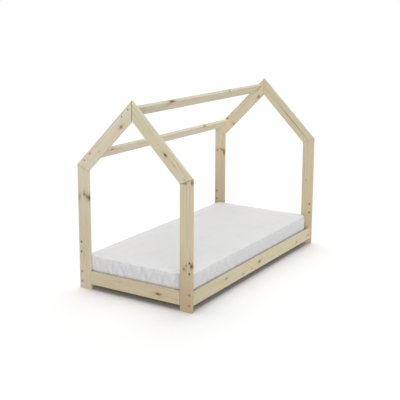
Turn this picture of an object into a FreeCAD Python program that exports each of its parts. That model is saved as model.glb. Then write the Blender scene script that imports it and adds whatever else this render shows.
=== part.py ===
import FreeCAD, Part
import math
import os

# A child's bed in the shape of a house: two gable frames of flat boards, two side rails, a ridge board
# and an eave board on the wall side, a slatted base and a mattress.
# Millimetres. +X runs along the bed, +Y from the open side to the wall side, +Z up. The origin is on
# the floor under the middle of the bed. The front gable is at -X, the back gable at +X.

# ---- mattress -------------------------------------------------------------------------------------
mattress_length = 1900.0
mattress_width = 900.0
mattress_thickness = 150.0
mattress_crown = 8.0            # how far the middle of the top stands above its edge
mattress_waist = 4.0            # how far the border is drawn in between its two seams
mattress_edge_roll = 20.0       # radius of the roll along the top and bottom edges
mattress_roll_steps = 4         # level outlines that each roll is drawn through
mattress_crown_steps = 6        # level outlines from the roll to the middle of the top
mattress_flat = 60.0            # half the width of the level middle of the top
mattress_corner_radius = 55.0
mattress_least_radius = 18.0    # corner radius of the outlines nearest the middle
cover_thickness = 14.0          # quilted cover with its wadding, all round the foam
mattress_end_clearance = 8.0    # mattress to gable, each end
mattress_side_clearance = 7.0   # mattress to rail, each side
soft_gap = 0.3                  # air left around soft pieces

# ---- boards ---------------------------------------------------------------------------------------
board_width = 98.0              # every board of the frame is cut from this one section
board_thickness = 22.0
board_edge_round = 2.0
board_end_chamfer = 1.0
rail_inset = 10.0               # rails and roof boards lie this far inside the gable's outer edge
rail_underside = 42.0
eave_height = 930.0             # outer corner where post and rafter meet
roof_pitch = 45.0               # degrees
eave_board_start = 60.0         # up the slope, from the eave corner to the eave board's lower edge
ridge_board_start = 54.0        # down the slope, from the apex to the ridge board's upper edge
spare_rail_height = 316.0       # middle of the free holes for a guard rail

# ---- slatted base ---------------------------------------------------------------------------------
ledge_depth = 25.0
ledge_height = 30.0
ledge_underside = 62.0
ledge_end_clearance = 2.0
ledge_screw_count = 7
ledge_screw_margin = 90.0       # first and last screw to the ledge's end
slat_count = 15
slat_width = 68.0
slat_thickness = 18.0
slat_edge_round = 3.0
slat_side_clearance = 4.0
slat_end_margin = 8.0           # first and last slat to the gables
slat_screw_inset = 13.0         # screw to the slat's end
tape_width = 30.0
tape_thickness = 1.2
tape_offset = 260.0             # middle of each tape from the bed's centre line
tape_overhang = 12.0            # tape left past the middle of the first and last slat

# ---- fixings --------------------------------------------------------------------------------------
bolt_spacing = 75.0             # between the two bolts in a board's end
bolt_diameter = 6.0
bolt_length = 70.0              # under the head
bolt_bore = 7.0
bolt_head_diameter = 10.0
bolt_head_height = 6.0
bolt_socket = 5.0               # across the flats
bolt_socket_depth = 3.0
counterbore_diameter = 11.0
bolt_tip_room = 4.0             # bore left past the bolt's end
nut_diameter = 10.0
nut_length = 14.0
nut_bore_clearance = 0.2
nut_thread_clearance = 0.2
nut_slot_width = 1.4
nut_slot_depth = 1.5
nut_distance = 35.0             # barrel nut's axis from the board's end
dowel_diameter = 8.0
dowel_length = 40.0
dowel_chamfer = 1.0
dowel_clearance = 0.2
dowel_spacing = 50.0
screw_diameter = 4.0
screw_head_diameter = 8.0
screw_head_height = 2.4
screw_clearance = 0.2
screw_tip = 5.0
screw_point_diameter = 0.8
screw_recess_width = 1.1
screw_recess_length = 4.4
screw_recess_depth = 1.4
ledge_screw_length = 40.0
slat_screw_length = 35.0
staple_wire = 1.0
staple_width = 12.0
staple_leg = 9.0                # into the slat

# ---- sizes that follow ----------------------------------------------------------------------------
rail_length = mattress_length + 2 * mattress_end_clearance
inner_width = mattress_width + 2 * mattress_side_clearance
bed_length = rail_length + 2 * board_thickness
bed_width = inner_width + 2 * (board_thickness + rail_inset)
half_length = bed_length / 2
half_width = bed_width / 2
pitch = math.radians(roof_pitch)
apex_height = eave_height + half_width * math.tan(pitch)
rafter_length = half_width / math.cos(pitch)
rail_middle = rail_underside + board_width / 2
board_middle_inset = rail_inset + board_thickness / 2
slat_underside = ledge_underside + ledge_height
slat_top = slat_underside + slat_thickness
slat_length = inner_width - 2 * slat_side_clearance
slat_reach = rail_length / 2 - slat_end_margin - slat_width / 2
slat_pitch = 2 * slat_reach / (slat_count - 1)
mattress_underside = slat_top + soft_gap

X_AXIS = FreeCAD.Vector(1, 0, 0)
Y_AXIS = FreeCAD.Vector(0, 1, 0)
Z_AXIS = FreeCAD.Vector(0, 0, 1)
CENTRE = FreeCAD.Vector(0, 0, 0)
ALONG = 0.9999                  # cosine above which two directions count as the same
ACROSS = 0.0001                 # cosine below which two directions count as square to each other


def vector(x, y, z):
    return FreeCAD.Vector(x, y, z)


def save(name, solids):
    """Write one piece, or a group of like pieces, as a file of its own."""
    shape = solids[0] if len(solids) == 1 else Part.makeCompound(solids)
    shape.exportStep("parts/" + name + ".step")


def mirrored(shape, normal):
    return shape.mirror(CENTRE, normal)


def placed(shapes, placement):
    """Copies of shapes, moved from a board's own frame to its place on the bed."""
    moved = []
    for shape in shapes:
        copy = shape.copy()
        copy.Placement = placement.multiply(copy.Placement)
        moved.append(copy)
    return moved


def rounded(solid, direction, radius):
    """Round the long edges of a board, those that run along the unit vector direction."""
    edges = [e for e in solid.Edges if abs(e.tangentAt(e.FirstParameter).dot(direction)) > ALONG]
    return solid.makeFillet(radius, edges)


def frame_board(solid, direction):
    """A planed board of the frame, with rounded long edges and the sharp edges of its ends sanded off."""
    solid = rounded(solid, direction, board_edge_round)
    ends = [face for face in solid.Faces if abs(face.normalAt(0, 0).dot(direction)) > ACROSS]
    edges = [edge for face in ends for edge in face.Edges]
    return solid.makeChamfer(board_end_chamfer, edges)


def centred_box(length, width, height, middle):
    """A box of the given sizes along X, Y and Z around its middle point."""
    corner = middle - vector(length / 2, width / 2, height / 2)
    return Part.makeBox(length, width, height, corner)


# ---- fixings, each in its own frame ---------------------------------------------------------------
def chamfered_rod(diameter, length, chamfer, start, direction):
    rod = Part.makeCylinder(diameter / 2, length, start, direction)
    rims = [e for e in rod.Edges if isinstance(e.Curve, Part.Circle)]
    return rod.makeChamfer(chamfer, rims)


def bolt():
    """A cap bolt along +X: x = 0 is the end face of the board that it pulls in."""
    under_head = bolt_head_height - board_thickness
    head_start = vector(-board_thickness, 0, 0)
    head = Part.makeCylinder(bolt_head_diameter / 2, bolt_head_height, head_start, X_AXIS)
    shank = Part.makeCylinder(bolt_diameter / 2, bolt_length, vector(under_head, 0, 0), X_AXIS)
    corner_radius = bolt_socket / 2 / math.cos(math.pi / 6)
    corners = []
    for k in range(6 + 1):
        turn = k * math.pi / 3
        y = corner_radius * math.cos(turn)
        z = corner_radius * math.sin(turn)
        corners.append(vector(-board_thickness, y, z))
    socket = Part.Face(Part.makePolygon(corners)).extrude(vector(bolt_socket_depth, 0, 0))
    return head.fuse(shank).removeSplitter().cut(socket)


def gable_bore():
    """The hole for that bolt through the gable, with the pocket that its head sinks into."""
    start = vector(-board_thickness, 0, 0)
    pocket = Part.makeCylinder(counterbore_diameter / 2, bolt_head_height, start, X_AXIS)
    through = Part.makeCylinder(bolt_bore / 2, board_thickness, start, X_AXIS)
    return pocket.fuse(through)


def end_bore():
    """The hole for that bolt in the board's end."""
    depth = bolt_length + bolt_head_height - board_thickness + bolt_tip_room
    return Part.makeCylinder(bolt_bore / 2, depth, CENTRE, X_AXIS)


def barrel_nut():
    """A cross dowel with its axis along Y, open to the board's inner face at -Y."""
    start = vector(nut_distance, -nut_length / 2, 0)
    nut = Part.makeCylinder(nut_diameter / 2, nut_length, start, Y_AXIS)
    thread_radius = (bolt_diameter + nut_thread_clearance) / 2
    thread_start = vector(nut_distance - nut_diameter, 0, 0)
    thread = Part.makeCylinder(thread_radius, 2 * nut_diameter, thread_start, X_AXIS)
    slot_middle = start + vector(0, nut_slot_depth / 2, 0)
    slot = centred_box(nut_diameter, nut_slot_depth, nut_slot_width, slot_middle)
    return nut.cut(thread).cut(slot)


def nut_bore():
    depth = (board_thickness + nut_length) / 2
    start = vector(nut_distance, -board_thickness / 2, 0)
    return Part.makeCylinder((nut_diameter + nut_bore_clearance) / 2, depth, start, Y_AXIS)


def at_board_ends(shape):
    """Four copies of a fixing, two in each end of a rail or roof board."""
    copies = []
    for side in (-1, 1):
        front = shape.copy()
        front.translate(vector(-rail_length / 2, 0, side * bolt_spacing / 2))
        copies += [front, mirrored(front, X_AXIS)]
    return copies


def screw_shape(length, clearance):
    """A countersunk screw that points down from z = 0, or its hole with some clearance."""
    radius = (screw_diameter + clearance) / 2
    head_radius = (screw_head_diameter + clearance) / 2
    straight = length - screw_head_height - screw_tip
    head = Part.makeCone(head_radius, radius, screw_head_height, CENTRE, -Z_AXIS)
    shank = Part.makeCylinder(radius, straight, vector(0, 0, -screw_head_height), -Z_AXIS)
    point = screw_point_diameter / 2
    tip = Part.makeCone(radius, point, screw_tip, vector(0, 0, screw_tip - length), -Z_AXIS)
    return head.fuse([shank, tip]).removeSplitter()


def screw(length):
    middle = vector(0, 0, -screw_recess_depth / 2)
    slot = centred_box(screw_recess_length, screw_recess_width, screw_recess_depth, middle)
    cross = centred_box(screw_recess_width, screw_recess_length, screw_recess_depth, middle)
    return screw_shape(length, 0.0).cut([slot, cross])


def dowel(middle, direction, length, diameter):
    start = middle - direction * (length / 2)
    return chamfered_rod(diameter, length, dowel_chamfer, start, direction)


def dowels_and_holes(middles, direction):
    """Wooden dowels across a joint, and the holes for them."""
    pins = [dowel(m, direction, dowel_length, dowel_diameter) for m in middles]
    room = dowel_length + 2 * dowel_clearance
    holes = [dowel(m, direction, room, dowel_diameter + dowel_clearance) for m in middles]
    return pins, holes


# ---- gables ---------------------------------------------------------------------------------------
gable_middle_x = -half_length + board_thickness / 2
inner_eave_y = half_width - board_width
inner_eave_z = eave_height + board_width * (math.tan(pitch) - 1 / math.cos(pitch))
inner_apex_z = apex_height - board_width / math.cos(pitch)
slope = vector(0, -math.cos(pitch), math.sin(pitch))
inward = vector(0, -math.sin(pitch), -math.cos(pitch))
eave_corner = vector(0, half_width, eave_height)


def gable_board(outline, direction):
    """A board that lies in the front gable's plane; its outline is given in Y and Z."""
    points = [vector(-half_length, y, z) for y, z in outline + outline[:1]]
    solid = Part.Face(Part.makePolygon(points)).extrude(vector(board_thickness, 0, 0))
    return frame_board(solid, direction)


def eave_joint():
    """Dowels square to the mitre between the wall-side post and rafter."""
    along = (vector(0, inner_eave_y, inner_eave_z) - eave_corner).normalize()
    middle = vector(gable_middle_x, (half_width + inner_eave_y) / 2, (eave_height + inner_eave_z) / 2)
    middles = [middle + along * (side * dowel_spacing / 2) for side in (-1, 1)]
    return dowels_and_holes(middles, along.cross(X_AXIS))


def ridge_joint():
    """Level dowels across the upright mitre at the ridge."""
    middle = vector(gable_middle_x, 0, (apex_height + inner_apex_z) / 2)
    middles = [middle + Z_AXIS * (side * dowel_spacing / 2) for side in (-1, 1)]
    return dowels_and_holes(middles, Y_AXIS)


def end_board_joint():
    """Level dowels between the wall-side post and the end board."""
    middle = vector(gable_middle_x, inner_eave_y, rail_middle)
    middles = [middle + Z_AXIS * (side * dowel_spacing / 2) for side in (-1, 1)]
    return dowels_and_holes(middles, Y_AXIS)


def slope_point(distance, depth):
    """A point on the wall-side roof: up the slope from the eave corner, and in from the outer edge."""
    return eave_corner + slope * distance + inward * depth


def rail_place(side, height, turn):
    """Where a rail goes: side is 1 at the wall and -1 at the open side."""
    middle = vector(0, side * (half_width - board_middle_inset), height)
    return FreeCAD.Placement(middle, FreeCAD.Rotation(Z_AXIS, turn))


def roof_place(distance):
    """Where a roof board goes: its middle is this far up the slope."""
    turn = FreeCAD.Rotation(X_AXIS, 90 - roof_pitch)
    return FreeCAD.Placement(slope_point(distance, board_middle_inset), turn)


# Each long board has a frame of its own: X along it, +Y out of its outer face, Z across its width.
wall_rail_place = rail_place(1, rail_middle, 0)
open_rail_place = rail_place(-1, rail_middle, 180)
spare_rail_place = rail_place(1, spare_rail_height, 0)
eave_board_place = roof_place(eave_board_start + board_width / 2)
ridge_board_place = roof_place(rafter_length - ridge_board_start - board_width / 2)


def make_gables():
    eave_pins, eave_holes = eave_joint()
    ridge_pins, ridge_holes = ridge_joint()
    board_pins, board_holes = end_board_joint()
    bores = at_board_ends(gable_bore())
    post_bores = placed(bores, wall_rail_place) + placed(bores, spare_rail_place)
    roof_bores = placed(bores, eave_board_place) + placed(bores, ridge_board_place)

    outer_eave = (half_width, eave_height)
    inner_eave = (inner_eave_y, inner_eave_z)
    post = gable_board([(half_width, 0), outer_eave, inner_eave, (inner_eave_y, 0)], Z_AXIS)
    post = post.cut(eave_holes + board_holes + post_bores)
    rafter = gable_board([outer_eave, (0, apex_height), (0, inner_apex_z), inner_eave], slope)
    rafter = rafter.cut(eave_holes + ridge_holes)

    low = rail_underside
    high = rail_underside + board_width
    ends = [(-inner_eave_y, low), (inner_eave_y, low), (inner_eave_y, high), (-inner_eave_y, high)]
    far_holes = [mirrored(hole, Y_AXIS) for hole in board_holes]
    end_board = gable_board(ends, Y_AXIS).cut(board_holes + far_holes)

    front = {
        "wall_post": post,
        "open_post": mirrored(post, Y_AXIS),
        "wall_rafter": rafter.cut(roof_bores),
        "open_rafter": mirrored(rafter, Y_AXIS),
        "end_board": end_board,
    }
    for name, solid in front.items():
        save("front_" + name, [solid])
        save("back_" + name, [mirrored(solid, X_AXIS)])

    eave_pins += [mirrored(pin, Y_AXIS) for pin in eave_pins]
    board_pins += [mirrored(pin, Y_AXIS) for pin in board_pins]
    for name, pins in (("eave", eave_pins), ("ridge", ridge_pins), ("end_board", board_pins)):
        save(name + "_dowels", pins + [mirrored(pin, X_AXIS) for pin in pins])


# ---- long boards ----------------------------------------------------------------------------------
def long_board():
    """A rail or roof board in its own frame, bored for its four bolts and barrel nuts."""
    blank = centred_box(rail_length, board_thickness, board_width, CENTRE)
    return frame_board(blank, X_AXIS).cut(at_board_ends(end_bore()) + at_board_ends(nut_bore()))


def screws_along_ledge():
    """Places of the screws along a ledge, in X."""
    reach = rail_length / 2 - ledge_end_clearance - ledge_screw_margin
    step = 2 * reach / (ledge_screw_count - 1)
    return [-reach + k * step for k in range(ledge_screw_count)]


def ledge_screw_placement(x):
    """A screw that enters the wall-side ledge from inside the bed, halfway up it."""
    head = vector(x, inner_width / 2 - ledge_depth, ledge_underside + ledge_height / 2)
    return FreeCAD.Placement(head, FreeCAD.Rotation(X_AXIS, 90))


def make_rails_and_ledges():
    screw_places = [ledge_screw_placement(x) for x in screws_along_ledge()]
    screws = []
    holes = []
    for place in screw_places:
        screws += placed([screw(ledge_screw_length)], place)
        holes += placed([screw_shape(ledge_screw_length, screw_clearance)], place)
    wall_rail = placed([long_board()], wall_rail_place)[0].cut(holes)
    save("wall_side_rail", [wall_rail])
    save("open_side_rail", [mirrored(wall_rail, Y_AXIS)])

    ledge_length = rail_length - 2 * ledge_end_clearance
    middle = vector(0, (inner_width - ledge_depth) / 2, ledge_underside + ledge_height / 2)
    ledge = centred_box(ledge_length, ledge_depth, ledge_height, middle)
    ledge = ledge.cut(holes + slat_screw_holes())
    save("wall_side_ledge", [ledge])
    save("open_side_ledge", [mirrored(ledge, Y_AXIS)])
    save("ledge_screws", screws + [mirrored(s, Y_AXIS) for s in screws])


def make_roof_boards():
    save("eave_board", placed([long_board()], eave_board_place))
    save("ridge_board", placed([long_board()], ridge_board_place))


def make_bolts_and_nuts():
    rail_places = [wall_rail_place, open_rail_place]
    roof_places = [eave_board_place, ridge_board_place]
    for name, places in (("rail", rail_places), ("roof", roof_places)):
        bolts = []
        nuts = []
        for place in places:
            bolts += placed(at_board_ends(bolt()), place)
            nuts += placed(at_board_ends(barrel_nut()), place)
        save(name + "_bolts", bolts)
        save(name + "_barrel_nuts", nuts)


# ---- slatted base ---------------------------------------------------------------------------------
def slat_positions():
    return [-slat_reach + k * slat_pitch for k in range(slat_count)]


def slat_screw_spots():
    """Screws down through the wall-side ends of the first and last slat."""
    y = slat_length / 2 - slat_screw_inset
    return [vector(x, y, slat_top) for x in (-slat_reach, slat_reach)]


def slat_screw_holes():
    hole = screw_shape(slat_screw_length, screw_clearance)
    return [hole.translated(spot) for spot in slat_screw_spots()]


def staple(x):
    """A staple that holds the wall-side tape under the slat at x."""
    crown_top = slat_underside - tape_thickness
    crown_middle = vector(x, tape_offset, crown_top - staple_wire / 2)
    crown = centred_box(staple_wire, staple_width, staple_wire, crown_middle)
    leg_height = tape_thickness + staple_leg
    leg_y = (staple_width - staple_wire) / 2
    legs = []
    for side in (-1, 1):
        middle = vector(x, tape_offset + side * leg_y, crown_top + leg_height / 2)
        legs.append(centred_box(staple_wire, staple_wire, leg_height, middle))
    return crown.fuse(legs).removeSplitter()


def make_slats():
    staples = [staple(x) for x in slat_positions()]
    open_staples = [mirrored(s, Y_AXIS) for s in staples]
    screws = [screw(slat_screw_length).translated(spot) for spot in slat_screw_spots()]
    holes = slat_screw_holes()
    open_holes = [mirrored(hole, Y_AXIS) for hole in holes]
    for k, x in enumerate(slat_positions()):
        middle = vector(x, 0, slat_underside + slat_thickness / 2)
        blank = centred_box(slat_width, slat_length, slat_thickness, middle)
        blank = rounded(blank, Y_AXIS, slat_edge_round)
        slat = blank.cut([staples[k], open_staples[k]])
        if k in (0, slat_count - 1):
            slat = slat.cut(holes + open_holes)
        save("slat_%02d" % (k + 1), [slat])

    tape_length = 2 * (slat_reach + tape_overhang)
    tape_middle = vector(0, tape_offset, slat_underside - tape_thickness / 2)
    tape = centred_box(tape_length, tape_width, tape_thickness, tape_middle).cut(staples)
    save("wall_side_tape", [tape])
    save("open_side_tape", [mirrored(tape, Y_AXIS)])
    save("tape_staples", staples + open_staples)
    save("slat_screws", screws + [mirrored(s, Y_AXIS) for s in screws])


# ---- mattress -------------------------------------------------------------------------------------
def rounded_rectangle(height, inset, radius):
    """A level outline of four lines and four quarter arcs, inset from the mattress's full size."""
    a = mattress_length / 2 - inset
    b = mattress_width / 2 - inset
    z = mattress_underside + height
    cut_in = radius * (1 - math.sqrt(0.5))
    arc = Part.Arc(vector(a, b - radius, z), vector(a - cut_in, b - cut_in, z), vector(a - radius, b, z))
    corner = arc.toShape()
    far_corner = mirrored(corner, X_AXIS)
    end = Part.makeLine(vector(a, radius - b, z), vector(a, b - radius, z))
    side = Part.makeLine(vector(radius - a, b, z), vector(a - radius, b, z))
    edges = [corner, far_corner, mirrored(corner, Y_AXIS), mirrored(far_corner, Y_AXIS)]
    edges += [end, mirrored(end, X_AXIS), side, mirrored(side, Y_AXIS)]
    return Part.Wire(Part.__sortEdges__(edges))


def cover_outline():
    """Height and inset of each level outline, from the flat underside to the crown."""
    roll = mattress_edge_roll
    turns = [math.pi / 2 * k / mattress_roll_steps for k in range(mattress_roll_steps + 1)]
    rolled = [(roll * (1 - math.cos(turn)), roll * (1 - math.sin(turn))) for turn in turns]
    waist = [(mattress_thickness / 2, mattress_waist)]
    upper = [(mattress_thickness - height, inset) for height, inset in reversed(rolled)]
    crown = []
    reach = mattress_width / 2 - roll - mattress_flat
    for k in range(1, mattress_crown_steps + 1):
        share = k / mattress_crown_steps
        rise = mattress_crown * math.sin(share * math.pi / 2)
        crown.append((mattress_thickness + rise, roll + share * reach))
    return rolled + waist + upper + crown


def make_mattress():
    outlines = []
    for height, inset in cover_outline():
        radius = max(mattress_corner_radius - inset, mattress_least_radius)
        outlines.append(rounded_rectangle(height, inset, radius))
    outside = Part.makeLoft(outlines, True, True)
    core_room = Part.Face(rounded_rectangle(cover_thickness, cover_thickness, mattress_corner_radius / 2))
    core_room = core_room.extrude(vector(0, 0, mattress_thickness - 2 * cover_thickness))
    save("mattress_cover", [outside.cut(core_room)])

    inset = cover_thickness + soft_gap
    foam = Part.Face(rounded_rectangle(cover_thickness, inset, mattress_corner_radius / 2))
    foam_height = mattress_thickness - 2 * cover_thickness - soft_gap
    save("mattress_core", [foam.extrude(vector(0, 0, foam_height))])


os.makedirs("parts", exist_ok=True)
make_gables()
make_rails_and_ledges()
make_roof_boards()
make_bolts_and_nuts()
make_slats()
make_mattress()
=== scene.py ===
# %% [markdown]
# # A house frame bed in pale pine
#
# The bed is a set of flat pine boards: two gables in the shape of a house, two side rails, two roof
# boards on the wall side, and a slatted base with a mattress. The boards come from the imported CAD
# model, which has every size right. This notebook gives them their wood, sews the mattress, and sets
# up the floor, the lamps and the camera.

import math
import random

import bmesh
import bpy
from mathutils import Matrix, Vector, noise


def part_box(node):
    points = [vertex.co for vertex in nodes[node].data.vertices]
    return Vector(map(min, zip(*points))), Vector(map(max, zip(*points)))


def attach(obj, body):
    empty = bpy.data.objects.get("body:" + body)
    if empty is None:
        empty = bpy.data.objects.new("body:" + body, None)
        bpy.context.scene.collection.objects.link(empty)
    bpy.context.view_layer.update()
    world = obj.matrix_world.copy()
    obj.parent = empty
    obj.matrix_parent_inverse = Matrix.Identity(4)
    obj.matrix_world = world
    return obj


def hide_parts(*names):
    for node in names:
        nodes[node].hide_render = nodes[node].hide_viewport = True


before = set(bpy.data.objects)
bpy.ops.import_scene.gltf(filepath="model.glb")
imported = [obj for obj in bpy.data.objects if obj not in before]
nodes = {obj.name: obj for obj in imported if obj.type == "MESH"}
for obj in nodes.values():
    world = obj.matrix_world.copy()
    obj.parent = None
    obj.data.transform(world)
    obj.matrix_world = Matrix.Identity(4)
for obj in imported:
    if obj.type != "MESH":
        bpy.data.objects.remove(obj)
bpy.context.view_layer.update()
print("pieces from the CAD model:", len(nodes))

# %% [markdown]
# ## Camera
#
# The picture was taken from the front corner of the bed, from about 2 m up, with a long lens tipped
# down a little. The straight edges of the boards give the place and the direction of the camera.
# The lens is shifted, as on an architect's camera, so that the posts stay nearly upright.

# %% Place the camera
camera_place = Vector((-5.3806, -3.2782, 2.0863))
camera_turn = math.radians(31.81)       # from +X towards +Y
camera_dip = math.radians(11.10)        # below level
camera_roll = math.radians(0.26)
up = Vector((0, 0, 1))

level = Vector((math.cos(camera_turn), math.sin(camera_turn), 0))
ahead = level * math.cos(camera_dip) - up * math.sin(camera_dip)
right = ahead.cross(up).normalized()
above = right.cross(ahead)
rolled_right = right * math.cos(camera_roll) + above * math.sin(camera_roll)
rolled_above = above * math.cos(camera_roll) - right * math.sin(camera_roll)

camera = bpy.data.objects.new("camera", bpy.data.cameras.new("camera"))
camera.data.sensor_width = 36.0
camera.data.lens = 73.15
camera.data.shift_y = -0.1
camera.data.clip_end = 200.0
camera.matrix_world = Matrix((rolled_right, rolled_above, -ahead)).transposed().to_4x4()
camera.location = camera_place
bpy.context.scene.collection.objects.link(camera)
bpy.context.scene.camera = camera
print("camera to the floor under the bed's middle:", round(camera_place.length, 2), "m")

# %% [markdown]
# ## Writing a finish as sums
#
# A material is a web of nodes. Wood grain needs many small sums, and a web of Math nodes is hard to
# read. So one small class, `Signal`, wraps a node's output and lets Python's own signs add the nodes:
# `1 - knot` makes a Math node that subtracts. A second class, `Finish`, holds one material and adds
# every other node through one method.


# %% Signals and finishes
class Signal:
    """One output of a node. Sums on it add Math nodes to its finish."""

    def __init__(self, finish, socket):
        self.finish = finish
        self.socket = socket

    def maths(self, operation, *values):
        inputs = dict(enumerate(values))
        return self.finish.add("ShaderNodeMath", {"operation": operation}, inputs)

    def __add__(self, other):
        return self.maths("ADD", self, other)

    def __sub__(self, other):
        return self.maths("SUBTRACT", self, other)

    def __rsub__(self, other):
        return self.maths("SUBTRACT", other, self)

    def __mul__(self, other):
        return self.maths("MULTIPLY", self, other)

    def __truediv__(self, other):
        return self.maths("DIVIDE", self, other)

    def __neg__(self):
        return self.maths("MULTIPLY", self, -1.0)

    __radd__ = __add__

    def larger(self, other):
        return self.maths("MAXIMUM", self, other)

    def fraction(self):
        return self.maths("FRACT", self)

    def whole(self):
        return self.maths("FLOOR", self)

    def root(self):
        return self.maths("SQRT", self)

    def size(self):
        return self.maths("ABSOLUTE", self)

    def wave(self):
        return self.maths("SINE", self)

    def bell(self):
        """1 where the signal is 0, and falling off like a bell on both sides."""
        return self.maths("EXPONENT", -(self * self))

    def step(self, low, high):
        """0 below low, 1 above high, and smooth between them."""
        settings = {"interpolation_type": "SMOOTHSTEP"}
        inputs = {"Value": self, "From Min": low, "From Max": high, "To Min": 0.0, "To Max": 1.0}
        return self.finish.add("ShaderNodeMapRange", settings, inputs)


class Finish:
    """One material, built from signals."""

    def __init__(self, name):
        self.material = bpy.data.materials.new(name)
        self.material.use_nodes = True
        self.tree = self.material.node_tree
        self.tree.nodes.clear()

    def make(self, kind, settings=None, inputs=None):
        """Make a node, and fill in or connect its inputs."""
        node = self.tree.nodes.new(kind)
        for key, value in (settings or {}).items():
            setattr(node, key, value)
        for key, value in (inputs or {}).items():
            if isinstance(value, Signal):
                self.tree.links.new(value.socket, node.inputs[key])
            else:
                node.inputs[key].default_value = value
        return node

    def add(self, kind, settings=None, inputs=None, output=0):
        """Make a node and give back one of its outputs."""
        return Signal(self, self.make(kind, settings, inputs).outputs[output])

    def place(self):
        """Where a point is on the bed, in metres."""
        return self.add("ShaderNodeTexCoord", {}, {}, "Object")

    def split(self, vector):
        node = self.make("ShaderNodeSeparateXYZ", {}, {"Vector": vector})
        return [Signal(self, socket) for socket in node.outputs]

    def join(self, x, y, z):
        return self.add("ShaderNodeCombineXYZ", {}, {"X": x, "Y": y, "Z": z})

    def noise(self, vector, scale, detail=2.0):
        inputs = {"Vector": vector, "Scale": scale, "Detail": detail}
        return self.add("ShaderNodeTexNoise", {}, inputs)

    def mix(self, share, first, second, blend="MIX"):
        """Blend two colours. Each is a signal or three numbers."""
        inputs = {"Factor": share, 6: colour(first), 7: colour(second)}
        return self.add("ShaderNodeMix", {"data_type": "RGBA", "blend_type": blend}, inputs, 2)

    def vector(self, operation, first, second=None, output=0):
        inputs = {0: first} if second is None else {0: first, 1: second}
        return self.add("ShaderNodeVectorMath", {"operation": operation}, inputs, output)

    def bump(self, height, depth, strength=1.0):
        inputs = {"Height": height, "Distance": depth, "Strength": strength}
        return self.add("ShaderNodeBump", {}, inputs)

    def surface(self, **inputs):
        """End the finish in a Principled surface. Underscores in names stand for spaces."""
        named = {key.replace("_", " "): value for key, value in inputs.items()}
        shader = self.add("ShaderNodeBsdfPrincipled", {}, named)
        self.end(shader)
        return self.material

    def end(self, shader, kind="ShaderNodeOutputMaterial"):
        """Join the last shader to the output node."""
        self.make(kind, {}, {"Surface": shader})


def colour(value):
    """A signal as it is, or three numbers with the fourth that Blender wants."""
    return value if isinstance(value, Signal) else (*value, 1.0)


print("one finish is one material; one signal is one output of a node")

# %% [markdown]
# ## Pine
#
# A pine board is a slice of a log. Its rings are tubes round the pith, and the board cuts through them:
# where it runs close to the pith's line the rings show as long pointed arches, and further out as
# straight stripes. So the grain isn't drawn on the faces. It is a solid pattern, the distance from a
# slightly wandering pith, and every face of the board shows its own cut through it. Each ring goes
# slowly from pale early wood to tan late wood and then stops sharply.
#
# A knot is the root of a branch. It is a dark spot in a darker rim, and the rings flow round it. The
# knots that can be seen on the bed are put where they are on the real boards.

# %% Colours of pine
early_wood = (0.640, 0.575, 0.420)
late_wood = (0.490, 0.405, 0.255)
pink_wood = (0.600, 0.480, 0.350)
grey_wood = (0.555, 0.540, 0.395)
# the darker, warmer wood towards one end of some boards
darker_end_wood = (0.470, 0.365, 0.225)
amber_wood = (0.480, 0.320, 0.150)
knot_heart = (0.075, 0.050, 0.028)
knot_rim = (0.230, 0.150, 0.080)
gap_shade = (0.090, 0.075, 0.050)
# painted shade in and round the bolt holes, partly the pressed wood of their rims
pressed_wood_and_hole_shade = (0.120, 0.085, 0.045)
ring_width = 0.0052
joint_gap = 0.0028          # over which the shade beside a joint fades
plain_tone = (1, 1, 1)
print("mean ring width:", ring_width * 1000, "mm")


# %% A board's own directions
def board_directions(along, across):
    """Rows that turn a point of the bed into along, across and through the board."""
    along = Vector(along).normalized()
    across = Vector(across).normalized()
    return Matrix((along, across, along.cross(across)))


def board_space(finish, turn, middle):
    """Object coordinates, turned so that the board's middle is at zero and X runs with the grain."""
    place = finish.place()
    inputs = {"Vector": place, "Location": -(turn @ middle), "Rotation": turn.to_euler()}
    return finish.add("ShaderNodeMapping", {}, inputs)


def far_from(finish, space, place, radii):
    """Distance from a place, measured in the radii of an egg that lies along the board."""
    away = finish.vector("DIVIDE", finish.vector("SUBTRACT", space, place), radii)
    return finish.vector("LENGTH", away, output="Value")


def knot_marks(finish, space, knots, ripple):
    """Signals for a board's knots: heart, rim, stained wood round it, and how far rings are pushed."""
    heart = rim = stain = push = 0.0
    for place, radii, depth in knots:
        far = far_from(finish, space, place, radii) + ripple * 0.6
        tail = far_from(finish, space, place, (radii[0] * 4.5, radii[1] * 1.3, radii[2]))
        heart = (1 - far.step(0.60, 1.05)) * depth + heart
        rim = ((far - 1.15) / 0.45).bell() * depth + rim
        stain = (far / 2.6).bell() * depth + tail.bell() * (depth * 0.7) + stain
        push = (far / 3.2).bell() * (radii[1] * 0.6) + push
    return heart, rim, stain, push


def joint_shade(finish, seams):
    """Dark in the fine gap where two boards meet. Seams are planes: a point, a normal and a shade."""
    place = finish.place()
    shade = 0.0
    for point, normal, depth in seams:
        level = Vector(point).dot(Vector(normal))
        reach = finish.vector("DOT_PRODUCT", place, normal, output="Value") - level
        shade = (reach / joint_gap).bell() * depth + shade
    return shade


# %% The pine finish
def toned(wood, tone):
    """A wood colour, paler or warmer as a whole."""
    return tuple(part * change for part, change in zip(wood, tone))


def late_share(rings, start):
    """How dark a ring is: it darkens slowly from start, and ends sharply."""
    part = rings.fraction()
    return part.step(start, 0.88) * (1 - part.step(0.90, 1.0))


def streaked(finish, wood, fibre):
    """Wood with fine light and dark streaks along its fibres."""
    streaks = 0.88 + fibre * 0.24
    return finish.mix(1.0, wood, finish.join(streaks, streaks, streaks), "MULTIPLY")


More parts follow.
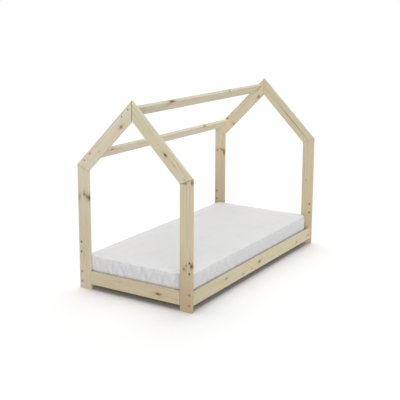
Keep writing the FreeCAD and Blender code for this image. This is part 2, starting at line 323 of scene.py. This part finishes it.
def pine(name, turn, middle, seed, knots=(), seams=(), holes=(), tint=0.5,
         darker_end=None, tone=plain_tone):
    """Solid pine for one board. Knots are (place, radii, depth) in the board's own directions.

    Holes are (place, radius, shade): painted shade in and round each bolt hole, partly pressed wood.
    The darker end is (start, end, share): the stretch over which the wood turns darker and warmer
    towards one end of the board.
    """
    pick = random.Random(seed)
    pith_across = pick.uniform(-0.035, 0.035)
    pith_below = pick.choice((-1, 1)) * pick.uniform(0.030, 0.065)
    pith_slope = pick.uniform(-0.012, 0.012)
    finish = Finish(name)
    space = board_space(finish, turn, middle)
    along, across, through = finish.split(space)

    slow = finish.noise(finish.join(along * 1.1 + seed * 3.7, across * 5, through * 5), 1.0)
    drift = finish.noise(finish.join(along * 0.8 - seed * 2.3, across * 3, through * 3 + 9.0), 1.0)
    ripple = finish.noise(finish.join(along * 34 + seed, across * 90, through * 90), 1.0) - 0.5
    fibre = finish.noise(finish.join(along * 16, across * 620 + seed, through * 620), 1.0, 3.0)
    blotch = finish.noise(finish.join(along * 3.0 + seed * 5.1, across * 20, through * 20), 1.0, 3.0)
    stripe = finish.noise(finish.join(along * 0.9 + seed, across * 80, through * 80), 1.0, 1.0)
    heart, rim, stain, push = knot_marks(finish, space, knots, ripple)

    from_side = across - pith_across + (slow - 0.5) * 0.050
    from_below = through - pith_below + along * pith_slope + (drift - 0.5) * 0.034
    radius = (from_side * from_side + from_below * from_below).root() + push
    rings = radius / ring_width + ripple * 0.35 + (stripe - 0.5) * 1.2
    late = late_share(rings, 0.20)

    woods = (early_wood, late_wood, pink_wood, grey_wood)
    early, tan, pink, grey = [toned(wood, tone) for wood in woods]
    wood = finish.mix(late * 0.70, early, tan)
    wood = finish.mix(blotch.step(0.44, 0.66) * tint, wood, pink)
    wood = finish.mix((1 - blotch).step(0.46, 0.68) * (1.0 - tint), wood, grey)
    wood = finish.mix(stripe.step(0.50, 0.75) * 0.45, wood, tan)
    wood = streaked(finish, wood, fibre)
    # The wood turns darker and warmer towards one end of the board.
    if darker_end:
        start, end, share = darker_end
        sign = 1 if end > start else -1
        warm = (along * sign + slow * 0.25 - 0.125).step(start * sign, end * sign) * share
        wood = finish.mix(warm, wood, darker_end_wood)
    if knots:
        wood = finish.mix(stain * 0.45, wood, amber_wood)
        wood = finish.mix(rim * 0.75, wood, knot_rim)
        wood = finish.mix(heart * 0.95, wood, knot_heart)
    if seams:
        wood = finish.mix(joint_shade(finish, seams), wood, gap_shade)
    # A darker ring at each bolt hole: painted shade in the hole and on its rim, partly pressed wood.
    for place, radius, shade in holes:
        wall = 1 - far_from(finish, space, place, (radius, radius, 1.0)).step(0.80, 1.20)
        wood = finish.mix(wall * shade, wood, pressed_wood_and_hole_shade)

    height = fibre * 0.30 + (1 - late) * 0.22
    normal = finish.bump(height, 0.0006, 0.55)
    rough = 0.60 + fibre * 0.14 - late * 0.08
    return finish.surface(Base_Color=wood, Roughness=rough, Normal=normal, Specular_IOR_Level=0.30)


board_width = 0.098
print("pine has", round(board_width / ring_width, 1), "rings across a board at the most")

# %% [markdown]
# ## Boards with their knots
#
# Every board gets a finish of its own, because no two boards come from the same place in a tree. The
# knots that show are listed by where they are on the bed. Each is an egg: so far along the grain, so
# far across it, and so deep. A knot that goes through the board is deep, and one on an edge is not.
# Boards that can't be seen get knots at random, from a fixed seed, so that the bed looks the same each
# time.

# %% Knots that can be seen
deep = 0.060
seen_knots = {
    "front_open_post": [
        ((-0.98, -0.424, 0.306), (0.0070, 0.0055, deep), 0.7),
        ((-0.98, -0.443, 0.334), (0.0060, 0.0045, deep), 0.6),
        ((-0.98, -0.438, 0.300), (0.0045, 0.0040, deep), 0.4),
        ((-0.98, -0.483, 0.334), (0.0140, 0.0070, deep), 1.0),
        ((-0.98, -0.486, 0.909), (0.0090, 0.0040, deep), 0.9),
        ((-0.98, -0.434, 0.900), (0.0060, 0.0130, deep), 0.5),
    ],
    "front_wall_post": [
        ((-0.98, 0.431, 0.716), (0.0120, 0.0070, deep), 0.7),
        ((-0.98, 0.407, 0.700), (0.0110, 0.0070, deep), 0.7),
        ((-0.98, 0.475, 0.690), (0.0200, 0.0080, deep), 0.4),
        ((-0.97, 0.391, 0.690), (0.0140, 0.0060, 0.0200), 0.9),
    ],
    "front_wall_rafter": [
        ((-0.98, 0.090, 1.232), (0.0120, 0.0080, deep), 0.6),
        ((-0.98, 0.287, 1.040), (0.0050, 0.0040, deep), 0.3),
    ],
    "front_open_rafter": [
        ((-0.98, -0.276, 1.074), (0.0110, 0.0065, deep), 1.0),
        ((-0.98, -0.344, 1.012), (0.0200, 0.0035, deep), 0.3),
        ((-0.98, -0.428, 0.924), (0.0050, 0.0050, deep), 0.3),
    ],
    "front_end_board": [
        ((-0.98, -0.211, 0.086), (0.0170, 0.0070, deep), 0.9),
        ((-0.98, 0.120, 0.112), (0.0060, 0.0030, deep), 0.3),
    ],
    "open_side_rail": [
        ((0.019, -0.479, 0.094), (0.0170, 0.0080, deep), 0.6),
        ((-0.104, -0.479, 0.073), (0.0060, 0.0040, deep), 0.5),
        ((-0.243, -0.479, 0.066), (0.0080, 0.0045, deep), 0.6),
        ((-0.498, -0.479, 0.104), (0.0130, 0.0070, deep), 0.5),
        ((0.692, -0.479, 0.077), (0.0090, 0.0060, deep), 0.6),
        ((0.930, -0.479, 0.084), (0.0080, 0.0060, deep), 0.7),
    ],
    "eave_board": [
        ((-0.730, 0.364, 1.010), (0.0090, 0.0070, deep), 1.0),
        ((-0.040, 0.372, 1.002), (0.0060, 0.0040, deep), 0.4),
        ((0.556, 0.361, 1.013), (0.0110, 0.0070, deep), 0.8),
    ],
    "ridge_board": [
        ((-0.455, 0.018, 1.359), (0.0240, 0.0050, 0.0090), 1.0),
        ((-0.480, 0.034, 1.340), (0.0300, 0.0130, 0.0160), 0.2),
        ((0.393, 0.018, 1.356), (0.0130, 0.0070, 0.0200), 0.4),
        # a dark streak across the board's back end, beside its joint with the rafter, drawn with a
        # knot's egg
        ((0.952, 0.058, 1.331), (0.0050, 0.0330, deep), 0.8),
    ],
    "back_wall_post": [
        ((0.958, 0.466, 0.739), (0.0080, 0.0060, deep), 0.7),
        ((0.958, 0.430, 0.752), (0.0040, 0.0110, deep), 0.6),
        ((0.958, 0.411, 0.744), (0.0060, 0.0100, deep), 0.7),
        ((0.958, 0.396, 0.722), (0.0170, 0.0060, deep), 0.8),
        ((0.958, 0.402, 0.912), (0.0090, 0.0060, deep), 0.5),
    ],
    "back_wall_rafter": [
        ((0.958, 0.049, 1.256), (0.0120, 0.0070, deep), 0.7),
        ((0.958, 0.363, 1.039), (0.0120, 0.0070, deep), 0.6),
        ((0.958, 0.299, 0.995), (0.0090, 0.0060, deep), 0.6),
    ],
    "back_open_rafter": [
        ((0.958, -0.287, 1.066), (0.1300, 0.0030, deep), 0.6),
    ],
    "back_open_post": [
        ((0.958, -0.430, 0.560), (0.0070, 0.0050, deep), 0.3),
    ],
}
print("boards with seen knots:", len(seen_knots))


# %% Which way each board runs
def board_axes(name):
    """Directions along and across a board, from its name."""
    side = 1 if "wall" in name else -1
    if "post" in name:
        return (0, 0, 1), (0, 1, 0)
    if "rafter" in name:
        return (0, -side, 1), (0, side, 1)
    if "end_board" in name:
        return (0, 1, 0), (0, 0, 1)
    if name in ("eave_board", "ridge_board"):
        return (1, 0, 0), (0, -1, 1)
    return (1, 0, 0), (0, 0, 1)


gable_half_width = 0.489
eave_height = 0.930
end_board_reach = 0.391
mitre_lean = math.radians(67.5)


def board_seams(name):
    """The planes of the joints at a gable board's ends."""
    side = 1 if "wall" in name else -1
    eave_shade = 0.30 if side > 0 else 0.55
    ridge_shade = 0.90
    if name.startswith("back"):
        eave_shade = 0.20
        ridge_shade = 0.35
    across_mitre = (0, -side * math.cos(mitre_lean), math.sin(mitre_lean))
    eave = ((0, side * gable_half_width, eave_height), across_mitre, eave_shade)
    ridge = ((0, 0, 0), (0, 1, 0), ridge_shade)
    if "post" in name:
        return [eave]
    if "rafter" in name:
        return [eave, ridge]
    if "end_board" in name:
        wall_end = ((0, end_board_reach, 0), (0, 1, 0), 0.5)
        open_end = ((0, -end_board_reach, 0), (0, 1, 0), 0.6)
        return [wall_end, open_end]
    return []


def dress(name, material):
    """Give a CAD piece its finish."""
    node = nodes[name]
    node.data.materials.clear()
    node.data.materials.append(material)


# %% Where the bolts go in
rail_height = 0.091
spare_height = 0.316
half_bolt_spacing = 0.0375
rail_from_middle = 0.468
roof_places = ((0.3971, 0.9922), (0.0580, 1.3313))
ring_radius = 0.0086
rail_hole_shade = 0.55
spare_hole_shade = 0.75
roof_hole_shade = 0.25


def pressed_and_shaded_rings(name, turn, middle):
    """Each gable bolt hole's darker ring: painted shade in the hole and on its rim, partly pressed wood.
    """
    side = 1 if "wall" in name else -1
    places = []
    if "post" in name:
        for height, shade in ((rail_height, rail_hole_shade), (spare_height, spare_hole_shade)):
            for step in (-half_bolt_spacing, half_bolt_spacing):
                places.append((side * rail_from_middle, height + step, shade))
    if "wall_rafter" in name:
        for y, z in roof_places:
            for step in (-half_bolt_spacing, half_bolt_spacing):
                rise = step * math.sqrt(0.5)
                places.append((y - rise, z + rise, roof_hole_shade))
    return [(turn @ (Vector((middle[0], y, z)) - middle), ring_radius, shade) for y, z, shade in places]


# %% Dress the frame's boards
# Boards that turn darker and warmer towards one end: where the change starts and ends, and how far it
# goes.
darker_ends = {
    "front_open_post": (0.15, -0.42, 1.00),
    "open_side_rail": (-0.30, -1.00, 0.30),
    "front_wall_post": (0.40, 0.00, 0.35),
    "front_end_board": (0.60, 0.10, 0.30),
    "back_wall_post": (0.45, -0.10, 0.45),
    "back_open_post": (0.40, -0.20, 0.40),
}
tones = {
    "front_wall_rafter": (1.12, 1.13, 1.20),
    "front_wall_post": (1.06, 1.08, 1.14),
    "front_open_rafter": (1.06, 1.06, 1.07),
    "eave_board": (1.14, 1.16, 1.24),
    "ridge_board": (1.10, 1.12, 1.18),
    "open_side_rail": (1.06, 1.08, 1.08),
    "back_open_rafter": (0.95, 0.96, 0.95),
    "back_open_post": (0.97, 0.94, 0.92),
    "back_wall_post": (0.97, 0.96, 0.94),
}


def random_knots(pick, reach):
    """Three knots somewhere on a board whose own can't be seen."""
    knots = []
    for _ in range(3):
        radius = pick.uniform(0.005, 0.009)
        place = Vector((pick.uniform(-reach, reach), pick.uniform(-0.045, 0.045), 0))
        knots.append((place, (radius * 1.4, radius, deep), 0.7))
    return knots


def dress_board(name, seed):
    """Give one board its own pine, with its knots, joints, bolt holes and tone."""
    low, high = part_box(name)
    middle = (low + high) / 2
    turn = board_directions(*board_axes(name))
    reach = max(high - low) / 2
    knots = []
    for point, radii, depth in seen_knots.get(name, []):
        knots.append((turn @ (Vector(point) - middle), radii, depth))
    knots = knots or random_knots(random.Random(seed * 7), reach)
    # darker rings round the bolt holes: painted shade, partly pressed wood
    rings = pressed_and_shaded_rings(name, turn, middle)
    tint = 0.3 + 0.2 * (seed % 3)
    warm = darker_ends.get(name)
    tone = tones.get(name, plain_tone)
    seams = board_seams(name)
    dress(name, pine("pine_" + name, turn, middle, seed, knots, seams, rings, tint, warm, tone))


frame_boards = [name for name in nodes if name.split("_")[-1] in ("post", "rafter", "board", "rail")]
for seed, name in enumerate(sorted(frame_boards), start=1):
    dress_board(name, seed)
print("boards dressed:", len(frame_boards))

# %% [markdown]
# ## Slats, ledges and dowels
#
# The fifteen slats share one finish. It folds the bed's length into slat after slat, so that each one
# still gets rings of its own.

# %% Dress the base
slat_count = 15
slat_low, slat_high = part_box("slat_01")
last_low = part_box("slat_15")[0]
slat_pitch = (last_low[0] - slat_low[0]) / (slat_count - 1)


def slat_pine():
    """Pine that starts a new log at every slat."""
    finish = Finish("pine_slats")
    place = finish.place()
    x, y, z = finish.split(place)
    count = (x - (slat_low[0] + slat_high[0]) / 2) / slat_pitch + 0.5
    number = count.whole()
    across = (count.fraction() - 0.5) * slat_pitch
    through = z - (slat_low[2] + slat_high[2]) / 2
    drift = finish.noise(finish.join(y * 1.4 + number * 7.3, across * 5, through * 5), 1.0)
    fibre = finish.noise(finish.join(y * 16 + number, across * 620, through * 620), 1.0, 3.0)
    pith = 0.045 + (number * 0.618).fraction() * 0.03
    side = across + (drift - 0.5) * 0.06
    below = through + pith
    late = late_share((side * side + below * below).root() / ring_width, 0.25)
    wood = finish.mix(late * 0.6, early_wood, late_wood)
    wood = finish.mix((number * 0.37).fraction() * 0.5, wood, pink_wood)
    wood = streaked(finish, wood, fibre)
    normal = finish.bump(fibre * 0.4 + (1 - late) * 0.2, 0.0007, 0.6)
    rough = 0.64 + fibre * 0.15
    return finish.surface(Base_Color=wood, Roughness=rough, Normal=normal, Specular_IOR_Level=0.3)


slat_finish = slat_pine()
for number in range(1, slat_count + 1):
    dress("slat_%02d" % number, slat_finish)
for seed, name in enumerate(("open_side_ledge", "wall_side_ledge"), start=40):
    low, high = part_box(name)
    turn = board_directions((1, 0, 0), (0, 0, 1))
    knots = [(Vector((0.31, 0.004, 0)), (0.007, 0.005, deep), 0.7)]
    dress(name, pine("pine_" + name, turn, (low + high) / 2, seed, knots))
print("slat pitch:", round(slat_pitch * 1000, 1), "mm")

# %% Dress the dowels
beech = Finish("beech")
grain_place = beech.place()
flecks = beech.noise(grain_place, 420.0, 3.0)
bands = beech.noise(grain_place, 60.0, 2.0)
pale_beech = (0.60, 0.41, 0.25)
brown_beech = (0.47, 0.30, 0.17)
beech_fleck = (0.33, 0.20, 0.11)
beech_colour = beech.mix(bands, pale_beech, brown_beech)
beech_colour = beech.mix(flecks.step(0.55, 0.75) * 0.5, beech_colour, beech_fleck)
beech_skin = beech.surface(Base_Color=beech_colour, Roughness=0.55 + flecks * 0.2,
                           Normal=beech.bump(flecks, 0.0003))
for name in ("eave_dowels", "ridge_dowels", "end_board_dowels"):
    dress(name, beech_skin)
print("dowel pieces dressed: 3 groups")

# %% [markdown]
# ## Metal and tape
#
# Bolts, nuts and screws are zinc plated: a soft grey metal with a faint yellow cast, cloudy where the
# plating is thin. The spacing tapes are woven, so their finish is a plain weave of two sets of threads.

# %% Dress the metal
zinc = Finish("zinc_plated_steel")
metal_place = zinc.place()
cloud = zinc.noise(metal_place, 260.0, 3.0)
stretched = zinc.add("ShaderNodeMapping", {}, {"Vector": metal_place, "Scale": (900, 3000, 900)})
scratch = zinc.noise(stretched, 1.0)
dull_zinc = (0.24, 0.225, 0.18)
bright_zinc = (0.36, 0.34, 0.28)
zinc_colour = zinc.mix(cloud.step(0.35, 0.70), dull_zinc, bright_zinc)
zinc_skin = zinc.surface(Base_Color=zinc_colour, Metallic=0.9, Roughness=0.34 + cloud * 0.22,
                         Normal=zinc.bump(scratch, 0.00008, 0.5))
metal_names = [name for name in nodes if name.split("_")[-1] in ("bolts", "nuts", "screws", "staples")]
for name in metal_names:
    dress(name, zinc_skin)
print("metal groups dressed:", len(metal_names))

# %% Dress the tapes
tape = Finish("woven_tape")
x, y = tape.split(tape.place())[:2]
warp_spacing = 0.0012
weft_spacing = 0.0016
warp = (y * (math.tau / warp_spacing)).wave()
weft = (x * (math.tau / weft_spacing)).wave()
weave = warp * weft * 0.5 + 0.5
thread_gap = (0.66, 0.64, 0.60)
thread_top = (0.82, 0.80, 0.76)
tape_colour = tape.mix(weave, thread_gap, thread_top)
tape_skin = tape.surface(Base_Color=tape_colour, Roughness=0.85, Normal=tape.bump(weave, 0.0004, 0.8))
for name in ("open_side_tape", "wall_side_tape"):
    dress(name, tape_skin)
print("tapes dressed: 2")

# %% [markdown]
# ## The mattress
#
# The mattress is a block of foam in a zipped cover. The top and bottom are plain knitted panels, and
# the border between them is quilted in a row of diamonds. The cover is a bit too large for the foam,
# as covers are, so it lies in soft waves, and it puckers at the seams.
#
# It starts as a box of small squares whose edges are rolled over. A cloth simulation then lets the
# cover puff out between its seams. Last, the quilting is pressed in along the sewn lines. The squares
# for the cloth are coarse, so that this takes seconds, and they are split before the quilting.

# %% Sizes of the mattress
cover_low, cover_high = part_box("mattress_cover")
mattress_middle = (cover_low + cover_high) / 2
puff_room = 0.0015          # left at each side for the cover to puff into
crown_room = 0.004          # and above the crown
half_length = (cover_high[0] - cover_low[0]) / 2 - puff_room
half_width = (cover_high[1] - cover_low[1]) / 2 - puff_room
bottom_z = cover_low[2]
side_height = 0.146
crown_height = cover_high[2] - bottom_z - side_height - crown_room
edge_roll = 0.022
corner_radius = 0.052
cell = 0.020
print("mattress:", round(half_length * 2, 3), "x", round(half_width * 2, 3), "m")


# %% Cut the box into squares
def soft_box():
    """A closed box of squares about as large as a cell."""
    shape = bmesh.new()
    bmesh.ops.create_cube(shape, size=2.0)
    for axis, length in ((0, half_length * 2), (1, half_width * 2), (2, side_height)):
        edges = [e for e in shape.edges if abs((e.verts[0].co - e.verts[1].co)[axis]) > 1.0]
        bmesh.ops.subdivide_edges(shape, edges=edges, cuts=round(length / cell), use_grid_fill=True)
    return shape


mattress_shape = soft_box()
print("squares in the box:", len(mattress_shape.faces))


# %% Roll the edges over
def held_within(value, limit):
    """The nearest value from -limit to limit."""
    return max(-1, min(1, value / limit)) * limit


def rolled_place(point):
    """Where a point of the plain box from -1 to 1 goes on the mattress."""
    reach = Vector((half_length, half_width, side_height / 2))
    flat = Vector((point[0] * reach[0], point[1] * reach[1], point[2] * reach[2]))
    corner = Vector([held_within(flat[axis], reach[axis] - corner_radius) for axis in (0, 1)])
    out = Vector((flat[0], flat[1])) - corner
    longest = max(abs(out[0]), abs(out[1]))
    if longest > 0:
        out = out.normalized() * longest
    inside = reach[2] - edge_roll
    core = max(-inside, min(inside, flat[2]))
    rise = flat[2] - core
    tuck = corner_radius - out.length
    if abs(rise) > 0 or tuck < edge_roll:
        ring = max(0.0, edge_roll - tuck)
        both = max(ring, abs(rise))
        length = math.hypot(ring, rise)
        if length > 0:
            rise = rise / length * both
            if ring > 0:
                out = out.normalized() * (corner_radius - edge_roll + ring / length * both)
    return Vector((corner[0] + out[0], corner[1] + out[1], core + rise))


for vert in mattress_shape.verts:
    placed = rolled_place(vert.co)
    share = max(0.0, placed[2] / (side_height / 2))
    dome = (1 - (placed[0] / half_length) ** 4) * (1 - (placed[1] / half_width) ** 4)
    placed[2] += crown_height * dome * share ** 3
    placed += Vector((mattress_middle[0], mattress_middle[1], bottom_z + side_height / 2))
    vert.co = placed
bmesh.ops.recalc_face_normals(mattress_shape, faces=mattress_shape.faces)

mattress = bpy.data.objects.new("mattress", bpy.data.meshes.new("mattress"))
bpy.context.scene.collection.objects.link(mattress)
mattress_shape.to_mesh(mattress.data)
mattress_shape.free()
print("corners in the cover:", len(mattress.data.vertices))


# %% Let the cover puff out
cloth_frames = 14
furthest_puff = 0.005
loose_edge = 0.05           # the top is free this far in from its edge
firmer_over = 0.25          # and gets firmer over this distance


def held_share(point):
    """How firmly the cover is held: 1 on the underside and the two seams, 0 where it is free."""
    height = point[2] - bottom_z
    seam = min(abs(height - edge_roll), abs(height - side_height + edge_roll))
    if height < edge_roll * 0.8 or seam < cell * 0.35:
        return 1.0
    inner = min(half_length - abs(point[0]), half_width - abs(point[1]))
    return min(0.9, max(0.0, (inner - loose_edge) / firmer_over))


def puff(piece, frames, most):
    """Let the cover swell under a light pressure, moving no point further than most."""
    held = piece.vertex_groups.new(name="held")
    start = [vert.co.copy() for vert in piece.data.vertices]
    for vert in piece.data.vertices:
        held.add([vert.index], held_share(vert.co), "REPLACE")
    cloth = piece.modifiers.new("cloth", "CLOTH")
    cloth.settings.quality = 5
    cloth.settings.mass = 0.3
    cloth.settings.tension_stiffness = 12
    cloth.settings.compression_stiffness = 12
    cloth.settings.shear_stiffness = 6
    cloth.settings.bending_stiffness = 0.8
    cloth.settings.shrink_min = -0.008
    cloth.settings.vertex_group_mass = "held"
    cloth.settings.pin_stiffness = 1.5
    cloth.settings.use_pressure = True
    cloth.settings.uniform_pressure_force = 2.5
    cloth.settings.effector_weights.gravity = 0
    cloth.collision_settings.use_self_collision = False
    cloth.point_cache.frame_end = frames
    scene = bpy.context.scene
    for step in range(1, frames + 1):
        scene.frame_set(step)
    seen = piece.evaluated_get(bpy.context.evaluated_depsgraph_get())
    moved = [vert.co.copy() for vert in seen.data.vertices]
    piece.modifiers.remove(cloth)
    furthest = 0.0
    for vert, before, after in zip(piece.data.vertices, start, moved):
        shift = after - before
        if shift.length > most:
            shift *= most / shift.length
        furthest = max(furthest, shift.length)
        vert.co = before + shift
    piece.vertex_groups.clear()
    scene.frame_set(1)
    return furthest


print("the cover moved by up to", round(puff(mattress, cloth_frames, furthest_puff) * 1000, 1), "mm")

# %% [markdown]
# ### Quilting
#
# The border is sewn through along two sets of slanting lines that cross, so that diamonds stand up
# between them. Measured round the border, a diamond is 10 cm long. The depth of the quilting is the
# distance to the nearest sewn line: deep and narrow at the thread, round in the middle.

# %% Split the squares and press the quilting in
diamond_length = 0.100
diamond_height = 0.200
first_crossing = 0.030
rim_height = 0.127
quilt_depth = 0.0024
rim_width = 0.0045
rim_depth = 0.0030


def round_border(point):
    """How far round the border a point is, measured along the nearer side or end."""
    x, y = point[0], point[1]
    beside = half_width - abs(y) < half_length - abs(x)
    return x if beside else y


def quilt(point):
    """How far the quilting stands up: 0 on a sewn line, 1 in the middle of a diamond."""
    along = round_border(point) / diamond_length
    height = (point[2] - bottom_z - first_crossing) / diamond_height
    first = abs(((along + height) % 1.0) - 0.5) * 2
    second = abs(((along - height) % 1.0) - 0.5) * 2
    nearest = min(1 - first, 1 - second)
    return 1 - (1 - nearest) ** 3


def press_quilting(piece):
    """Split the squares once, and press in the diamonds, the sewn rim and a few soft dents."""
    shape = bmesh.new()
    shape.from_mesh(piece.data)
    bmesh.ops.subdivide_edges(shape, edges=shape.edges, cuts=1, use_grid_fill=True, smooth=0.0)
    shape.normal_update()
    for vert in shape.verts:
        height = vert.co[2] - bottom_z
        upright = 1 - min(1.0, abs(vert.normal[2]) * 1.6)
        soft = noise.noise(vert.co * 9.0) * 0.0008 + noise.noise(vert.co * 3.1) * 0.0010
        seam = math.exp(-((height - rim_height) / rim_width) ** 2)
        lift = upright * (quilt(vert.co) - 0.75) * quilt_depth - seam * rim_depth
        if height > edge_roll:
            vert.co += vert.normal * (lift + soft)
    shape.to_mesh(piece.data)
    shape.free()


press_quilting(mattress)
for polygon in mattress.data.polygons:
    polygon.use_smooth = True
print("faces on the mattress:", len(mattress.data.polygons))


# %% Lay the weave's map on the cover
def lay_map(piece):
    """A map in metres: across the panels it is X and Y, and round the border it is length and height."""
    layer = piece.data.uv_layers.new(name="weave")
    for polygon in piece.data.polygons:
        normal = polygon.normal
        for corner in polygon.loop_indices:
            point = piece.data.vertices[piece.data.loops[corner].vertex_index].co
            if abs(normal[2]) > 0.7:
                layer.data[corner].uv = (point[0], point[1])
            elif abs(normal[1]) > abs(normal[0]):
                layer.data[corner].uv = (point[0], point[2])
            else:
                layer.data[corner].uv = (point[1], point[2])


lay_map(mattress)
print("map laid on", len(mattress.data.loops), "corners")


# %% [markdown]
# ### Knitted fabric
#
# The cover is a white knit with a matt sheen. Its loops are far smaller than a pixel from where the
# camera stands, but they show close by. The border's fabric is a touch cooler, and its darker grey is
# painted shade on the upright sides, which get less light than the top.

# %% The cover's finish
top_white = (0.735, 0.736, 0.732)
cool_border_and_side_shade = (0.640, 0.635, 0.650)
cloud_white = (0.680, 0.682, 0.684)
wave_white = (0.66, 0.66, 0.66)
thread_grey = (0.55, 0.54, 0.57)
crossing_grey = (0.42, 0.41, 0.42)
rim_grey = (0.55, 0.54, 0.56)
loop_width = 0.0022
loop_height = 0.0030


def knit():
    """White knitted fabric, quilted and cooler round the border, which is darker as painted shade."""
    finish = Finish("mattress_knit")
    weave_map = finish.add("ShaderNodeUVMap", {"uv_map": "weave"})
    u, v = finish.split(weave_map)[:2]
    place = finish.place()
    z = finish.split(place)[2]
    facing = finish.add("ShaderNodeNewGeometry", {}, {}, "Normal")
    upward = finish.split(facing)[2]
    border = 1 - upward.size().step(0.35, 0.75)

    loops = (u * (math.tau / loop_width)).wave() * (v * (math.tau / loop_height)).wave()
    slubs = finish.noise(finish.join(u * 700, v * 90, 0.0), 1.0, 2.0)
    waves = ((v * 62 + (u * 38).wave() * 0.9).wave() * 0.5 + 0.5) * (1 - border)
    clouds = finish.noise(place, 5.0, 3.0)
    height = z - bottom_z - first_crossing
    first = ((u / diamond_length + height / diamond_height).fraction() - 0.5).size() * 2
    second = ((u / diamond_length - height / diamond_height).fraction() - 0.5).size() * 2
    sewn = first.larger(second).step(0.90, 1.0) * border
    crossed = first.step(0.82, 0.98) * second.step(0.82, 0.98) * border

    # The border is cooler, as its fabric is, and darker as painted shade on the upright sides.
    cloth_colour = finish.mix(border, top_white, cool_border_and_side_shade)
    cloth_colour = finish.mix(clouds.step(0.35, 0.75) * 0.35, cloth_colour, cloud_white)
    cloth_colour = finish.mix(sewn * 0.20, cloth_colour, thread_grey)
    cloth_colour = finish.mix(crossed * 0.40, cloth_colour, crossing_grey)
    rim = ((z - bottom_z - rim_height) / 0.0030).bell() * border
    cloth_colour = finish.mix(rim * 0.25, cloth_colour, rim_grey)
    cloth_colour = finish.mix(waves * 0.10, cloth_colour, wave_white)
    relief = loops * 0.25 + slubs * 0.35 + waves * 0.8 - sewn * 1.5
    normal = finish.bump(relief, 0.0008, 0.6)
    return finish.surface(Base_Color=cloth_colour, Roughness=0.86 + slubs * 0.1, Normal=normal,
                          Sheen_Weight=0.25, Sheen_Roughness=0.5, Specular_IOR_Level=0.2)


mattress.data.materials.append(knit())
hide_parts("mattress_cover", "mattress_core")
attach(mattress, "mattress")
print("the mattress stands for the CAD cover and core")

# %% [markdown]
# ## Floor and light
#
# The bed stands on a plain white floor that runs on without a horizon. The lamps are suns, whose light
# is the same everywhere, so that the floor is as white far away as near the bed. The main one is as
# wide as a studio's soft box and stands above and behind the bed. So the gap under the boards is dark,
# and the shadow in front of them fades away slowly.
#
# The other two come in low, from the front corner and from the far one, and bring out the sides of the
# boards. They are linked to the pieces: they light nothing else, and only the pieces can stop them.
#
# The sky is white only to the camera and in reflections. What it shines on the bed stays at a plain
# level, so that a colour looks as it is written.


# %% The floor
def seen_directly(finish):
    """1 for what the camera sees, itself or in a mirror or through glass."""
    node = finish.make("ShaderNodeLightPath")
    names = ("Is Camera Ray", "Is Glossy Ray", "Is Transmission Ray")
    straight, mirrored, through = [Signal(finish, node.outputs[name]) for name in names]
    return straight.larger(mirrored).larger(through)


floor_reach = 60.0
floor_drop = 0.0005
floor_bounce = (0.50, 0.50, 0.50)
floor_white = (1.20, 1.205, 1.21)
floor_shape = bmesh.new()
bmesh.ops.create_grid(floor_shape, x_segments=1, y_segments=1, size=floor_reach)
bmesh.ops.translate(floor_shape, verts=floor_shape.verts, vec=(0, 0, -floor_drop))
floor = bpy.data.objects.new("floor", bpy.data.meshes.new("floor"))
bpy.context.scene.collection.objects.link(floor)
floor_shape.to_mesh(floor.data)
floor_shape.free()

floor_finish = Finish("white_floor")
floor_colour = floor_finish.mix(seen_directly(floor_finish), floor_bounce, floor_white)
matt = floor_finish.add("ShaderNodeBsdfDiffuse", {}, {"Color": floor_colour})
floor_finish.end(matt)
floor.data.materials.append(floor_finish.material)
print("floor laid")

# %% The sky
sky_level = 0.32
world = bpy.data.worlds.new("studio")
bpy.context.scene.world = world
world.use_nodes = True


class Sky(Finish):
    """The world's own web of nodes, built in the same way."""

    def __init__(self, web):
        self.tree = web
        self.tree.nodes.clear()


sky = Sky(world.node_tree)
strength = seen_directly(sky) * (1 - sky_level) + sky_level
glow = sky.add("ShaderNodeBackground", {}, {"Color": (1.0, 1.0, 1.0, 1.0), "Strength": strength})
sky.end(glow, "ShaderNodeOutputWorld")
print("sky level:", sky_level)


# %% The lamps
def soft_sun(name, towards, spread, level):
    """Parallel light with soft edges. Level is how bright it makes a white face turned to it."""
    lamp = bpy.data.objects.new(name, bpy.data.lights.new(name, "SUN"))
    lamp.data.angle = math.radians(spread)
    lamp.data.energy = level * math.pi
    lamp.rotation_euler = Vector(towards).to_track_quat("-Z", "Y").to_euler()
    bpy.context.scene.collection.objects.link(lamp)
    return lamp


def group(name, pieces):
    """A collection that only tells a lamp which pieces it deals with."""
    made = bpy.data.collections.new(name)
    for piece in pieces:
        made.objects.link(piece)
    return made


soft_sun("lamp_above", towards=(-0.34, -0.34, -1), spread=84, level=0.60)
lit_pieces = group("lit_from_the_sides", [*nodes.values(), mattress])
front_lamp = soft_sun("lamp_front", towards=(0.66, 0.65, -0.10), spread=60, level=0.80)
far_lamp = soft_sun("lamp_far", towards=(-0.65, -0.65, -0.10), spread=60, level=0.32)
for side_lamp in (front_lamp, far_lamp):
    side_lamp.light_linking.receiver_collection = lit_pieces
    side_lamp.light_linking.blocker_collection = lit_pieces
bpy.context.scene.view_settings.view_transform = "Standard"
print("lamps: 3")
